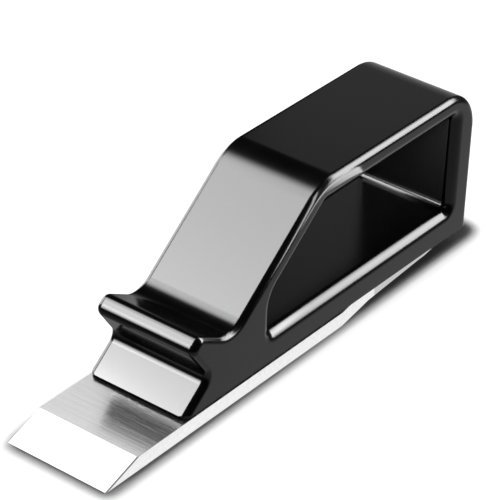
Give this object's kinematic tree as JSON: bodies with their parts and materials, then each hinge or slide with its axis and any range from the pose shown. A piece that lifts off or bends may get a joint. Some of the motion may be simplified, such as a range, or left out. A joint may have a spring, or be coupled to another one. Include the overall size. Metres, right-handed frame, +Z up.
{
  "type": "chisel plane",
  "caption": "Hand chisel plane: a flat bevelled steel blade screwed under a black anodised handle with a finger window, sloped front and thumb rest, for paring flush.",
  "frame": {"origin": "on the bench under the middle of the tool's length and width", "axes": "+X along the tool from the cutting edge to the heel, +Y across it, +Z up"},
  "size_m": [0.1596, 0.033, 0.051],
  "materials": {
    "black_anodised_aluminium": "satin black anodised",
    "ground_steel": "bare steel, ground across the width",
    "black_oxide_steel": "black oxide"
  },
  "bodies": {
    "blade": {"blade": "ground_steel"},
    "handle": {"handle_body": "black_anodised_aluminium"},
    "screw_front": {"blade_screw_front": "black_oxide_steel"},
    "screw_rear": {"blade_screw_rear": "black_oxide_steel"}
  },
  "joints": [
    {"name": "handle_lift", "type": "slide", "parent": "blade", "child": "handle", "axis": [0, 0, 1], "range_m": [0, 0.0056]},
    {"name": "screw_front_turn", "type": "hinge", "parent": "blade", "child": "screw_front", "pos_m": [-0.01975, 0, 0.0003], "axis": [0, 0, -1], "range_deg": [0, 2016.2]},
    {"name": "screw_rear_turn", "type": "hinge", "parent": "blade", "child": "screw_rear", "pos_m": [0.05025, 0, 0.0003], "axis": [0, 0, -1], "range_deg": [0, 2016.2]}
  ],
  "couplings": [
    {"joint": "screw_front_turn", "follows": "handle_lift", "rad_per_m": 6283.2},
    {"joint": "screw_rear_turn", "follows": "handle_lift", "rad_per_m": 6283.2}
  ]
}
